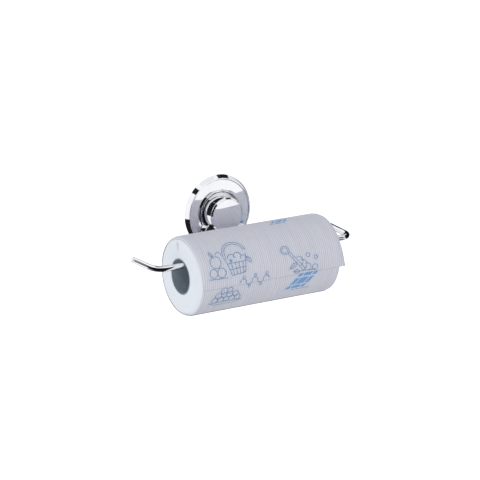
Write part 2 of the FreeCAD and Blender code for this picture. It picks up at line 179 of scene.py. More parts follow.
def shade(colour, *factors):
    """A colour times one factor, or one each for red, green and blue, and no lighter than white."""
    factors = factors * 3 if len(factors) == 1 else factors
    return tuple(min(1.0, c * f) for c, f in zip(colour, factors))


# Node tree helpers


class Tree:
    """A thin wrapper that adds nodes to a tree and joins them in one call."""

    def __init__(self, tree):
        self.tree = tree

    def put(self, socket, value):
        if isinstance(value, bpy.types.NodeSocket):
            self.tree.links.new(value, socket)
        elif value is not None:
            socket.default_value = value

    def add(self, kind, inputs=None, **settings):
        node = self.tree.nodes.new(kind)
        for key, value in settings.items():
            setattr(node, key, value)
        for key, value in (inputs or {}).items():
            self.put(node.inputs[key], value)
        return node

    def math(self, operation, a, b=None, c=None, clamp=False):
        node = self.add("ShaderNodeMath", operation=operation, use_clamp=clamp)
        for socket, value in zip(node.inputs, (a, b, c)):
            self.put(socket, value)
        return node.outputs[0]

    def plus(self, a, b):
        return self.math("ADD", a, b)

    def minus(self, a, b):
        return self.math("SUBTRACT", a, b)

    def times(self, a, b):
        return self.math("MULTIPLY", a, b)

    def apart(self, a, b):
        return self.math("ABSOLUTE", self.minus(a, b))

    def split(self, vector):
        return self.add("ShaderNodeSeparateXYZ", inputs={"Vector": vector}).outputs

    def joined(self, **parts):
        return self.add("ShaderNodeCombineXYZ", inputs=parts).outputs[0]

    def vector(self, operation, a, b=None, scale=None):
        node = self.add("ShaderNodeVectorMath", operation=operation)
        self.put(node.inputs[0], a)
        self.put(node.inputs[1], b)
        if scale is not None:
            self.put(node.inputs["Scale"], scale)
        return node.outputs["Value" if operation in ("LENGTH", "DISTANCE", "DOT_PRODUCT") else "Vector"]

    def remap(self, value, from_low, from_high, to_low=0.0, to_high=1.0, smooth=False):
        kind = "SMOOTHSTEP" if smooth else "LINEAR"
        node = self.add("ShaderNodeMapRange", interpolation_type=kind, inputs={
            "Value": value, "From Min": from_low, "From Max": from_high,
            "To Min": to_low, "To Max": to_high})
        return node.outputs["Result"]

    def mix(self, factor, a, b, blend="MIX"):
        node = self.add("ShaderNodeMix", data_type="RGBA", blend_type=blend)
        self.put(node.inputs[0], factor)
        self.put(node.inputs[6], (*a, 1.0) if isinstance(a, tuple) else a)
        self.put(node.inputs[7], (*b, 1.0) if isinstance(b, tuple) else b)
        return node.outputs[2]

    def group(self, name, inputs=None):
        node = self.add("ShaderNodeGroup")
        node.node_tree = bpy.data.node_groups[name]
        for key, value in (inputs or {}).items():
            self.put(node.inputs[key], value)
        return node.outputs

    def noise(self, vector, scale, detail=3.0, roughness=0.5):
        node = self.add("ShaderNodeTexNoise", inputs={
            "Vector": vector, "Scale": scale, "Detail": detail, "Roughness": roughness})
        return node.outputs["Fac"]

    def bump(self, height, strength, distance, normal=None):
        node = self.add("ShaderNodeBump", inputs={
            "Height": height, "Strength": strength, "Distance": distance, "Normal": normal})
        return node.outputs["Normal"]


def effect(name, inputs, outputs):
    """A shader node group with named inputs (name, kind, default) and outputs (name, kind)."""
    group = bpy.data.node_groups.new(name, "ShaderNodeTree")
    for label, kind, default in inputs:
        socket = group.interface.new_socket(name=label, in_out="INPUT", socket_type=kind)
        if default is not None:
            socket.default_value = default
    for label, kind in outputs:
        group.interface.new_socket(name=label, in_out="OUTPUT", socket_type=kind)
    tree = Tree(group)
    entry = group.nodes.new("NodeGroupInput").outputs
    leave = group.nodes.new("NodeGroupOutput").inputs
    return tree, entry, leave


def finish(name):
    """A new material with its tree, its shader node and its Object coordinates."""
    material = bpy.data.materials.new(name)
    material.use_nodes = True
    tree = Tree(material.node_tree)
    shader = material.node_tree.nodes["Principled BSDF"]
    place = tree.add("ShaderNodeTexCoord").outputs["Object"]
    return material, tree, shader, place


# Effects that several finishes use


def make_handling_effect():
    """Faint smudges and dust from handling."""
    tree, entry, leave = effect(
        "Handling marks", [("Vector", "NodeSocketVector", None), ("Scale", "NodeSocketFloat", 60.0)],
        [("Smudge", "NodeSocketFloat"), ("Dust", "NodeSocketFloat")])
    broad = tree.noise(entry["Vector"], entry["Scale"], 2.0, 0.6)
    fine = tree.noise(entry["Vector"], tree.times(entry["Scale"], 14.0), 3.0, 0.7)
    tree.put(leave["Smudge"], tree.remap(broad, 0.42, 0.72, smooth=True))
    tree.put(leave["Dust"], tree.remap(fine, 0.6, 0.78, smooth=True))


def make_scratch_effect():
    """Fine hairline scratches in two crossing directions."""
    tree, entry, leave = effect(
        "Hairline scratches", [("Vector", "NodeSocketVector", None), ("Scale", "NodeSocketFloat", 400.0)],
        [("Height", "NodeSocketFloat")])
    total = None
    for turn, stretch in ((0.5, 0.04), (-0.9, 0.06)):
        mapping = tree.add("ShaderNodeMapping", inputs={"Vector": entry["Vector"]})
        mapping.inputs["Rotation"].default_value = (turn, turn * 0.7, 1.1 * turn)
        mapping.inputs["Scale"].default_value = (1.0, stretch, stretch)
        lines = tree.noise(mapping.outputs["Vector"], entry["Scale"], 1.0, 0.4)
        lines = tree.remap(lines, 0.64, 0.72, smooth=True)
        total = lines if total is None else tree.plus(total, lines)
    tree.put(leave["Height"], total)


def make_grain_effect():
    """Moulded grain for plastic and rubber."""
    tree, entry, leave = effect(
        "Moulded grain", [("Vector", "NodeSocketVector", None), ("Scale", "NodeSocketFloat", 900.0)],
        [("Height", "NodeSocketFloat"), ("Tone", "NodeSocketFloat")])
    cells = tree.add("ShaderNodeTexVoronoi", feature="SMOOTH_F1", inputs={
        "Vector": entry["Vector"], "Scale": entry["Scale"]})
    soft = tree.noise(entry["Vector"], tree.times(entry["Scale"], 0.12), 3.0, 0.6)
    tree.put(leave["Height"], tree.plus(cells.outputs["Distance"], tree.times(soft, 0.5)))
    tree.put(leave["Tone"], soft)


def make_turning_effect():
    """Fine rings left by turning, about the mount's axis."""
    tree, entry, leave = effect(
        "Turning marks", [("Vector", "NodeSocketVector", None), ("Spacing", "NodeSocketFloat", 0.0003)],
        [("Height", "NodeSocketFloat")])
    flat = tree.vector("MULTIPLY", entry["Vector"], (1.0, 0.35, 1.0))
    radius = tree.vector("LENGTH", flat)
    rings = tree.math("SINE", tree.math("DIVIDE", tree.times(radius, 2 * math.pi), entry["Spacing"]))
    uneven = tree.noise(entry["Vector"], 220.0, 2.0, 0.5)
    tree.put(leave["Height"], tree.times(rings, uneven))


def make_fibre_effect():
    """Short soft paper fibres: a height and a tone."""
    tree, entry, leave = effect(
        "Paper fibres", [("Vector", "NodeSocketVector", None), ("Scale", "NodeSocketFloat", 900.0)],
        [("Height", "NodeSocketFloat"), ("Tone", "NodeSocketFloat")])
    total = None
    for turn in (0.2, 1.3, 2.4):
        mapping = tree.add("ShaderNodeMapping", inputs={"Vector": entry["Vector"]})
        mapping.inputs["Rotation"].default_value = (turn, 0.6 * turn, 0.3)
        mapping.inputs["Scale"].default_value = (1.0, 0.22, 0.22)
        strands = tree.noise(mapping.outputs["Vector"], entry["Scale"], 2.0, 0.6)
        total = strands if total is None else tree.math("MAXIMUM", total, strands)
    cloud = tree.noise(entry["Vector"], tree.times(entry["Scale"], 0.08), 3.0, 0.6)
    tree.put(leave["Height"], total)
    tree.put(leave["Tone"], cloud)


def make_unrolled_effect():
    """The place on the unrolled web in millimetres: along the roll, and round it from the front."""
    tree, entry, leave = effect(
        "Unrolled place", [("Vector", "NodeSocketVector", None)],
        [("Web", "NodeSocketVector"), ("Radius", "NodeSocketFloat")])
    axis = (0.0, ROLL_MIDDLE.y, ROLL_MIDDLE.z)
    away = tree.vector("SUBTRACT", entry["Vector"], axis)
    x, y, z = tree.split(away)
    angle = tree.math("ARCTAN2", z, tree.times(y, -1.0))
    around = tree.times(angle, PRINT_RADIUS_MM)
    tree.put(leave["Web"], tree.joined(X=tree.times(x, 1 / MM), Y=around))
    radial = tree.vector("LENGTH", tree.vector("MULTIPLY", away, (0, 1, 1)))
    tree.put(leave["Radius"], tree.times(radial, 1 / MM))


def make_emboss_effect():
    """Rows of small pressed dashes round the roll, and soft streaks between them. The Tone output is
    painted shade: darker in the low parts of the rows and lighter on their tops, plus the random streaks.
    """
    tree, entry, leave = effect(
        "Embossed rows", [("Web", "NodeSocketVector", None), ("Pitch", "NodeSocketFloat", 3.1)],
        [("Height", "NodeSocketFloat"), ("Tone", "NodeSocketFloat")])
    x, y, _ = tree.split(entry["Web"])
    wobble = tree.times(tree.noise(entry["Web"], 0.12, 2.0, 0.5), 0.9)
    along = tree.math("DIVIDE", tree.plus(x, wobble), entry["Pitch"])
    across = tree.math("COSINE", tree.times(along, 2 * math.pi))
    parity = tree.times(tree.math("ROUND", along), math.pi)
    dash_pitch = 2.6
    dashes = tree.math("COSINE", tree.plus(tree.times(y, 2 * math.pi / dash_pitch), parity))
    row = tree.times(tree.plus(across, 1.0), 0.5)
    dash = tree.remap(dashes, -0.7, 0.7, 0.55, 1.0)
    height = tree.times(row, dash)
    streaks = tree.noise(tree.vector("MULTIPLY", entry["Web"], (0.3, 0.012, 0.0)), 1.0, 3.0, 0.65)
    tree.put(leave["Height"], height)
    # Painted shade: the colour tone follows the rows' height, darker where they are pressed in.
    shade = tree.times(tree.minus(height, 0.42), 0.95)
    tree.put(leave["Tone"], tree.plus(shade, tree.remap(streaks, 0.3, 0.7, -0.2, 0.2)))


class Ink:
    """Collects printed strokes on the web, in millimetres, as one distance."""

    def __init__(self, tree, web):
        self.tree = tree
        self.web = web
        self.lines = None
        self.fills = None

    def join(self, name, distance):
        earlier = getattr(self, name)
        setattr(self, name, distance if earlier is None else self.tree.math("MINIMUM", earlier, distance))

    def away(self, x, y, stretch=1.0):
        """The way from a point of the web, stretched along it."""
        away = self.tree.vector("SUBTRACT", self.web, (x, y, 0.0))
        return self.tree.vector("MULTIPLY", away, (1.0, stretch, 0.0))

    def ring(self, x, y, radius, stretch=1.0, open_towards=None):
        """A circle or an ellipse; open_towards leaves its half on that side away."""
        distance = self.tree.apart(self.tree.vector("LENGTH", self.away(x, y, stretch)), radius)
        if open_towards is not None:
            side = (math.cos(open_towards), math.sin(open_towards), 0.0)
            distance = self.tree.math(
                "MAXIMUM", distance, self.tree.vector("DOT_PRODUCT", self.away(x, y), side))
        self.join("lines", distance)

    def stroke(self, x, y, to_x, to_y):
        """A straight stroke with round ends."""
        run = Vector((to_x - x, to_y - y, 0.0))
        away = self.away(x, y)
        share = self.tree.vector("DOT_PRODUCT", away, tuple(run / run.length_squared))
        share = self.tree.math("MULTIPLY", share, 1.0, clamp=True)
        foot = self.tree.vector("SCALE", tuple(run), scale=share)
        self.join("lines", self.tree.vector("DISTANCE", away, foot))

    def dot(self, x, y, radius):
        self.join("fills", self.tree.minus(self.tree.vector("LENGTH", self.away(x, y)), radius))

    def cloth(self, x, y, width, height, lean):
        """A leaning cloth with a pale check."""
        tree = self.tree
        x, y, _ = tree.split(self.away(x, y))
        leaning = tree.minus(x, tree.times(y, lean))
        sides = tree.minus(tree.math("ABSOLUTE", leaning), width / 2)
        ends = tree.minus(tree.math("ABSOLUTE", y), height / 2)
        along = tree.math("PINGPONG", tree.plus(leaning, width / 4), width / 4)
        down = tree.math("PINGPONG", tree.plus(y, height / 4), height / 4)
        check = tree.minus(1.0, tree.math("MINIMUM", along, down))
        self.join("fills", tree.math("MAXIMUM", tree.math("MAXIMUM", sides, ends), check))

    def leaf(self, x, y, length, turn):
        """A pointed leaf: two arcs that meet, and a rib."""
        reach = Vector((math.cos(turn), math.sin(turn), 0.0)) * (length / 2)
        side = Vector((-reach.y, reach.x, 0.0))
        radius = 1.25 * reach.length
        shift = side * math.sqrt(1.25 ** 2 - 1.0)
        away = self.away(x, y)
        both = [
            self.tree.minus(self.tree.vector("DISTANCE", away, tuple(sign * shift)), radius)
            for sign in (-1, 1)
        ]
        self.join("lines", self.tree.math("ABSOLUTE", self.tree.math("MAXIMUM", *both)))
        foot = Vector((x, y, 0.0)) - reach * 1.3
        self.stroke(foot.x, foot.y, x + reach.x * 0.4, y + reach.y * 0.4)


def draw_basket(ink):
    """A basket of fruit under a double handle."""
    for radius in (18.5, 15.5):
        ink.ring(-52.0, 36.0, radius, open_towards=math.radians(-75))
    ink.stroke(-70.0, 33.0, -62.0, 8.0)
    ink.stroke(-36.0, 35.0, -41.0, 10.0)
    ink.stroke(-62.0, 8.0, -41.0, 10.0)
    ink.stroke(-67.0, 24.0, -38.5, 25.0)
    ink.stroke(-64.5, 16.0, -40.0, 17.0)
    for k in range(4):
        ink.stroke(-61.0 + 6.0 * k, 24.5, -58.5 + 4.6 * k, 8.4)
    for x, y, radius in ((-59.0, 31.0, 5.5), (-49.0, 32.0, 6.0), (-41.0, 29.0, 4.0)):
        ink.ring(x, y, radius, open_towards=math.radians(-90))
    ink.dot(-60.5, 27.6, 2.4)
    ink.ring(-84.0, 29.0, 8.2)
    ink.ring(-77.0, 38.0, 4.6, open_towards=math.radians(-110))
    ink.ring(-90.0, 14.5, 5.8)
    ink.ring(-77.5, 14.0, 6.4)
    ink.leaf(-88.0, 40.5, 9.0, 2.0)
    ink.stroke(-97.0, 7.0, -69.0, 6.0)
    ink.leaf(-33.0, 26.0, 10.0, -0.9)


def draw_fruit(ink):
    """A wavy vine with berries, and a dish heaped with round fruit below it."""
    for k in range(5):
        x = -45.0 + 9.0 * k
        above = 1 if k % 2 == 0 else -1
        ink.ring(x, -4.0, 4.5, open_towards=math.radians(-90 * above))
        ink.ring(x + 1.0, -4.0 + 7.0 * above, 1.7)
    for row, count in enumerate((5, 4, 2)):
        for k in range(count):
            x = -86.0 + 8.8 * (k + 0.5 * row) + 4.0 * (row == 2)
            ink.ring(x, -26.0 + 6.6 * row, 4.7 + 0.3 * math.sin(3.0 * k + row))
            ink.dot(x - 1.2, -24.6 + 6.6 * row, 0.8)
    ink.stroke(-94.0, -31.2, -44.0, -31.2)
    ink.stroke(-94.0, -31.2, -84.0, -36.0)
    ink.stroke(-44.0, -31.2, -54.0, -36.0)
    ink.stroke(-84.0, -36.0, -54.0, -36.0)


def draw_spoon(ink):
    """A long spoon, a heap of froth, two leaves and a few bubbles."""
    ink.ring(25.0, 29.0, 7.0, stretch=1.25)
    ink.ring(25.0, 29.0, 4.6, stretch=1.3)
    ink.stroke(31.0, 26.0, 54.0, -1.0)
    ink.stroke(29.0, 23.5, 50.0, -2.5)
    ink.stroke(54.0, -1.0, 50.0, -2.5)
    for k in range(3):
        ink.ring(44.0 + 6.0 * k, 11.0 - 5.0 * k, 6.4, open_towards=math.radians(200))
    ink.leaf(35.0, 6.0, 12.0, 0.5)
    ink.leaf(40.0, -2.5, 10.0, -0.2)
    for x, y, radius in ((59.6, 17.5, 2.9), (71.5, 13.0, 2.6), (69.5, -0.5, 4.2)):
        ink.ring(x, y, radius)


def make_print_effect():
    """The pale blue kitchen print, which repeats down the web."""
    tree, entry, leave = effect(
        "Kitchen print", [("Web", "NodeSocketVector", None)],
        [("Line", "NodeSocketFloat"), ("Fill", "NodeSocketFloat"), ("Tint", "NodeSocketFloat")])
    x, y, _ = tree.split(entry["Web"])
    down = tree.math("FLOORED_MODULO", tree.minus(y, PRINT_START_MM), PRINT_REPEAT_MM)
    tile = tree.joined(X=x, Y=tree.plus(down, PRINT_START_MM))
    bleed = tree.add("ShaderNodeTexNoise", inputs={"Vector": entry["Web"], "Scale": 0.35, "Detail": 3.0})
    wander = tree.vector("SUBTRACT", bleed.outputs["Color"], (0.5, 0.5, 0.5))
    wander = tree.vector("MULTIPLY", tree.vector("SCALE", wander, scale=2.4), (1.0, 1.0, 0.0))
    ink = Ink(tree, tree.vector("ADD", tile, wander))
    draw_basket(ink)
    draw_fruit(ink)
    draw_spoon(ink)
    ink.cloth(51.0, -18.5, 30.0, 24.0, 0.85)
    ink.stroke(38.0, -33.5, 66.0, -33.5)
    ink.stroke(36.0, -2.5, 70.0, -3.5)
    ink.cloth(44.0, 84.0, 24.0, 14.0, 0.85)
    patchy = tree.noise(entry["Web"], 0.9, 3.0, 0.6)
    line = tree.remap(ink.lines, 0.85, 0.2, smooth=True)
    fill = tree.remap(ink.fills, 0.4, -0.4, smooth=True)
    tree.put(leave["Line"], tree.times(line, tree.remap(patchy, 0.3, 0.6, 0.62, 1.0)))
    tree.put(leave["Fill"], tree.times(fill, tree.remap(patchy, 0.3, 0.6, 0.75, 1.0)))
    near = tree.math("MINIMUM", ink.lines, ink.fills)
    tree.put(leave["Tint"], tree.remap(near, 6.0, 0.5, smooth=True))


# Finishes


def make_chrome():
    material, tree, shader, place = finish("chrome plating")
    marks = tree.group("Handling marks", {"Vector": place, "Scale": 45.0})
    scratches = tree.group("Hairline scratches", {"Vector": place, "Scale": 700.0})
    waves = tree.noise(place, 55.0, 1.0, 0.3)
    colour = tuple(colours().chrome)
    tree.put(shader.inputs["Base Color"], tree.mix(marks["Smudge"], colour, shade(colour, 0.965)))
    worn = tree.times(scratches["Height"], 0.05)
    rough = tree.remap(marks["Smudge"], 0.0, 1.0, 0.018, 0.05)
    rough = tree.plus(rough, tree.times(marks["Dust"], 0.05))
    tree.put(shader.inputs["Roughness"], tree.plus(rough, worn))
    shader.inputs["Metallic"].default_value = 1.0
    shader.inputs["Specular Tint"].default_value = (0.22, 0.23, 0.26, 1.0)
    broad = tree.bump(waves, 0.05, 0.0006)
    tree.put(shader.inputs["Normal"], tree.bump(scratches["Height"], 0.06, 0.00002, broad))
    return material


def make_zinc():
    material, tree, shader, place = finish("zinc-plated steel")
    turning = tree.group("Turning marks", {"Vector": place, "Spacing": 0.0004})
    marks = tree.group("Handling marks", {"Vector": place, "Scale": 180.0})
    scratches = tree.group("Hairline scratches", {"Vector": place, "Scale": 900.0})
    colour = tuple(colours().zinc)
    bluish = shade(colour, 0.86, 0.92, 1.04)
    tree.put(shader.inputs["Base Color"], tree.mix(marks["Smudge"], colour, bluish))
    rough = tree.remap(marks["Smudge"], 0.0, 1.0, 0.26, 0.42)
    tree.put(shader.inputs["Roughness"], tree.plus(rough, tree.times(scratches["Height"], 0.15)))
    shader.inputs["Metallic"].default_value = 1.0
    tree.put(shader.inputs["Normal"], tree.bump(turning["Height"], 0.25, 0.00003))
    return material


def make_brass():
    material, tree, shader, place = finish("machined brass")
    turning = tree.group("Turning marks", {"Vector": place, "Spacing": 0.0005})
    marks = tree.group("Handling marks", {"Vector": place, "Scale": 260.0})
    colour = tuple(colours().brass)
    tree.put(shader.inputs["Base Color"], tree.mix(marks["Smudge"], colour, shade(colour, 0.72)))
    tree.put(shader.inputs["Roughness"], tree.remap(marks["Smudge"], 0.0, 1.0, 0.2, 0.38))
    shader.inputs["Metallic"].default_value = 1.0
    tree.put(shader.inputs["Normal"], tree.bump(turning["Height"], 0.3, 0.00004))
    return material


def make_moulded(name, dark, light, rough_low, rough_high, scale, strength):
    material, tree, shader, place = finish(name)
    grain = tree.group("Moulded grain", {"Vector": place, "Scale": scale})
    marks = tree.group("Handling marks", {"Vector": place, "Scale": 130.0})
    base = tree.mix(grain["Tone"], dark, light)
    base = tree.mix(tree.times(marks["Dust"], 0.3), base, (0.4, 0.4, 0.4))
    tree.put(shader.inputs["Base Color"], base)
    tree.put(shader.inputs["Roughness"], tree.remap(marks["Smudge"], 0.0, 1.0, rough_low, rough_high))
    tree.put(shader.inputs["Normal"], tree.bump(grain["Height"], strength, 0.00008))
    return material


def make_clear_pad():
    material, tree, shader, place = finish("clear soft pad")
    grain = tree.group("Moulded grain", {"Vector": place, "Scale": 420.0})
    marks = tree.group("Handling marks", {"Vector": place, "Scale": 90.0})
    colour = tuple(colours().pad)
    tree.put(shader.inputs["Base Color"], tree.mix(grain["Tone"], colour, shade(colour, 0.9)))
    tree.put(shader.inputs["Roughness"], tree.remap(marks["Smudge"], 0.0, 1.0, 0.16, 0.36))
    shader.inputs["Transmission Weight"].default_value = 0.15
    shader.inputs["IOR"].default_value = 1.5
    shader.inputs["Subsurface Weight"].default_value = 0.2
    shader.inputs["Subsurface Scale"].default_value = 0.004
    tree.put(shader.inputs["Normal"], tree.bump(grain["Height"], 0.12, 0.0001))
    return material


def make_board():
    """Grey board wound in a slow spiral, with its seam."""
    material, tree, shader, place = finish("grey board")
    unrolled = tree.group("Unrolled place", {"Vector": place})
    fibres = tree.group("Paper fibres", {"Vector": place, "Scale": 700.0})
    x, y, _ = tree.split(unrolled["Web"])
    seam_lead = 70.0
    around = tree.times(y, seam_lead / (2 * math.pi * PAPER_RADIUS / MM))
    lead = tree.math("FLOORED_MODULO", tree.plus(x, around), seam_lead)
    seam = tree.remap(tree.apart(lead, seam_lead / 2), 0.5, 1.1, smooth=True)
    colour = tuple(colours().board)
    base = tree.mix(tree.remap(fibres["Tone"], 0.3, 0.7), shade(colour, 0.86), shade(colour, 1.1))
    tree.put(shader.inputs["Base Color"], tree.mix(seam, shade(colour, 0.55), base))
    tree.put(shader.inputs["Roughness"], tree.remap(fibres["Height"], 0.4, 0.7, 0.75, 0.95))
    shader.inputs["Specular IOR Level"].default_value = 0.2
    height = tree.plus(tree.times(fibres["Height"], 0.35), seam)
    tree.put(shader.inputs["Normal"], tree.bump(height, 0.5, 0.0002))
    return material


def web_surface(tree, shader, place):
    """The web's place, relief and colour, which the wound paper and the outer sheet share. The colour holds
    painted shade: the darker sheet colour, and the embossed rows' tone.
    """
    unrolled = tree.group("Unrolled place", {"Vector": place})
    fibres = tree.group("Paper fibres", {"Vector": place, "Scale": 800.0})
    emboss = tree.group("Embossed rows", {"Web": unrolled["Web"], "Pitch": sizes().emboss_pitch})
    ink = tree.group("Kitchen print", {"Web": unrolled["Web"]})
    tree.put(shader.inputs["Roughness"], tree.remap(fibres["Height"], 0.4, 0.7, 0.82, 0.98))
    shader.inputs["Specular IOR Level"].default_value = 0.15
    shader.inputs["Sheen Weight"].default_value = 0.12
    shader.inputs["Sheen Roughness"].default_value = 0.5
    colour = tuple(colours().sheet)
    # Painted shade of the embossing: the rows' tone darkens the sheet colour in their low parts and
    # lightens it on their tops.
    rows = tree.remap(emboss["Tone"], -0.5, 0.5, smooth=True)
    base = tree.mix(rows, shade(colour, 0.77), shade(colour, 1.14))
    base = tree.mix(tree.remap(fibres["Tone"], 0.3, 0.7, 0.0, 0.35), base, shade(colour, 1.05))
    cloud = tree.remap(tree.noise(emboss["Tone"], 3.0, 1.0, 0.5), 0.35, 0.65)
    base = tree.mix(tree.times(cloud, 0.5), base, shade(colour, 1.06, 0.98, 1.0))
    pale = tuple(0.45 + 0.5 * c for c in colours().ink_fill)
    base = tree.mix(tree.times(ink["Tint"], 0.26), base, pale)
    base = tree.mix(tree.times(ink["Line"], 0.88), base, tuple(colours().ink))
    base = tree.mix(tree.times(ink["Fill"], 0.88), base, tuple(colours().ink_fill))
    return unrolled, tree.times(emboss["Height"], 1.6), tree.times(fibres["Height"], 0.5), base


def make_paper():
    """Wound tissue: smooth layered ends, and the same embossing and print on the turned side."""
    material, tree, shader, place = finish("wound paper")
    unrolled, rows, fibres, turned = web_surface(tree, shader, place)
    edge = (PAPER_RADIUS - 1.2 * MM) / MM
    side = tree.remap(unrolled["Radius"], edge, edge + 0.9, smooth=True)
    uneven = tree.noise(place, 70.0, 2.0, 0.5)
    turns = tree.plus(unrolled["Radius"], tree.times(uneven, 1.2))
    layers = tree.math("SINE", tree.times(turns, 2 * math.pi / 1.1))
    fine_layers = tree.math("SINE", tree.times(turns, 2 * math.pi / 0.45))
    lay = tree.plus(layers, tree.times(fine_layers, 0.5))
    white = tuple(colours().paper)
    # Painted shade between the wound turns: the ends darken a little along the same rings that the relief
    # follows.
    end = tree.mix(tree.remap(lay, -1.5, 1.5), shade(white, 0.955), white)
    # The roll's side takes the darker sheet colour, painted shade, and its ends the paper's white.
    tree.put(shader.inputs["Base Color"], tree.mix(side, end, turned))
    relief = tree.plus(tree.times(rows, side), tree.times(lay, tree.times(tree.minus(1.0, side), 0.25)))
    tree.put(shader.inputs["Normal"], tree.bump(tree.plus(relief, fibres), 0.6, 0.00016))
    return material


def make_printed_sheet():
    """The outer sheet's printed, embossed tissue, with a line of slits across it, painted dark as shade in
    the cuts.
    """
    material, tree, shader, place = finish("printed embossed paper")
    unrolled, rows, fibres, base = web_surface(tree, shader, place)
    x, y, _ = tree.split(unrolled["Web"])
    off_line = tree.apart(y, -TEAR_LINE_MM)
    ties = tree.math("PINGPONG", x, TIE_STEP_MM / 2)
    shaded_slit = tree.times(tree.remap(off_line, 0.7, 0.3, smooth=True), tree.remap(ties, 0.7, 0.9))
    # Painted shade in the slits: the cuts are drawn much darker than the sheet.
    tree.put(shader.inputs["Base Color"], tree.mix(shaded_slit, base, shade(colours().sheet, 0.55)))
    relief = tree.minus(tree.plus(rows, fibres), shaded_slit)
    tree.put(shader.inputs["Normal"], tree.bump(relief, 0.6, 0.00016))
    return material


# Mesh helpers


def mesh_piece(name, points, faces, material):
    mesh = bpy.data.meshes.new(name)
    mesh.from_pydata([tuple(p) for p in points], [], faces)
    mesh.validate()
    mesh.materials.append(material)
    mesh.polygons.foreach_set("use_smooth", [True] * len(mesh.polygons))
    mesh.update()
    piece = bpy.data.objects.new(name, mesh)
    bpy.context.scene.collection.objects.link(piece)
    return piece


def lathe(profile, steps, place):
    """A closed ring of section points (along, radius) turned about an axis; place(along, radius, angle)."""
    count = len(profile)
    points, faces = [], []
    for i in range(steps):
        angle = 2 * math.pi * i / steps
        points.extend(place(a, r, angle) for a, r in profile)
    for i in range(steps):
        here, there = i * count, ((i + 1) % steps) * count
        for j in range(count):
            k = (j + 1) % count
            faces.append((here + j, there + j, there + k, here + k))
    return points, faces


def plain_mesh(piece):
    """Applies what a piece's modifiers make, and removes them."""
    made = bpy.data.meshes.new_from_object(piece.evaluated_get(bpy.context.evaluated_depsgraph_get()))
    piece.modifiers.clear()
    old = piece.data
    name = old.name
    piece.data = made
    bpy.data.meshes.remove(old)
    made.name = name
    return piece


def point_outwards(piece):
    """Turns every face outwards after merging doubled points."""
    work = bmesh.new()
    work.from_mesh(piece.data)
    bmesh.ops.remove_doubles(work, verts=work.verts, dist=1e-7)
    bmesh.ops.recalc_face_normals(work, faces=work.faces)
    work.to_mesh(piece.data)
    work.free()


def dress(names, material):
    for name in names:
        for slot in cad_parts[name].material_slots:
            slot.material = material


def geometry_tree(name, counts=(), floats=(), vectors=()):
    """A Geometry Nodes tree with a geometry in and out, and named counts, sizes and places."""
    group = bpy.data.node_groups.new(name, "GeometryNodeTree")
    group.interface.new_socket(name="Geometry", in_out="INPUT", socket_type="NodeSocketGeometry")
    kinds = {"NodeSocketInt": counts, "NodeSocketFloat": floats, "NodeSocketVector": vectors}
    for kind, labels in kinds.items():
        for label in labels:
            group.interface.new_socket(name=label, in_out="INPUT", socket_type=kind)
    group.interface.new_socket(name="Geometry", in_out="OUTPUT", socket_type="NodeSocketGeometry")
    tree = Tree(group)
    return tree, group.nodes.new("NodeGroupInput").outputs, group.nodes.new("NodeGroupOutput").inputs


def run_geometry(piece, tree, values):
    """Runs a tree on a piece with its sizes given by name, and keeps the result as a plain mesh."""
    modifier = piece.modifiers.new("made", "NODES")
    modifier.node_group = tree.tree
    for item in tree.tree.interface.items_tree:
        if item.in_out == "INPUT" and item.name in values:
            modifier[item.identifier] = values[item.name]
    return plain_mesh(piece)


def end_tree(tree, leave, parts, material):
    joined = tree.add("GeometryNodeJoinGeometry")
    for part in parts:
        tree.tree.links.new(part, joined.inputs[0])
    real = tree.add("GeometryNodeRealizeInstances", inputs={"Geometry": joined.outputs[0]})
    coloured = tree.add("GeometryNodeSetMaterial", inputs={"Geometry": real.outputs[0]})
    coloured.inputs["Material"].default_value = material
    smooth = tree.add("GeometryNodeSetShadeSmooth", inputs={"Geometry": coloured.outputs[0]})
    tree.tree.links.new(smooth.outputs[0], leave[0])


def swept(tree, path, corners, radius, closed_ends):
    """A thin bar with a few corners, along a path."""
    section = tree.add("GeometryNodeCurvePrimitiveCircle", inputs={"Resolution": corners, "Radius": radius})
    return tree.add("GeometryNodeCurveToMesh", inputs={
        "Curve": path.outputs[0], "Profile Curve": section.outputs[0], "Fill Caps": closed_ends})


def wound_edge_tree(material):
    """Spiral ridges of paper on both ends of the roll."""
    tree, entry, leave = geometry_tree(
        "Wound paper edges", floats=("Turns", "Inner radius", "Outer radius", "Ridge size"),
        vectors=("Left end", "Length"))
    spiral = tree.add("GeometryNodeCurveSpiral", inputs={
        "Resolution": 72, "Rotations": entry["Turns"], "Start Radius": entry["Inner radius"],
        "End Radius": entry["Outer radius"], "Height": 0.0})
    ridge = swept(tree, spiral, 4, entry["Ridge size"], True)
    upright = tree.add("GeometryNodeTransform", inputs={"Geometry": ridge.outputs[0]})
    upright.inputs["Rotation"].default_value = (0.0, math.pi / 2, 0.0)
    ends = tree.add("GeometryNodeMeshLine", mode="OFFSET", inputs={
        "Count": 2, "Start Location": entry["Left end"], "Offset": entry["Length"]})
    copies = tree.add("GeometryNodeInstanceOnPoints", inputs={
        "Points": ends.outputs[0], "Instance": upright.outputs[0]})
    end_tree(tree, leave, [entry["Geometry"], copies.outputs[0]], material)
    return tree


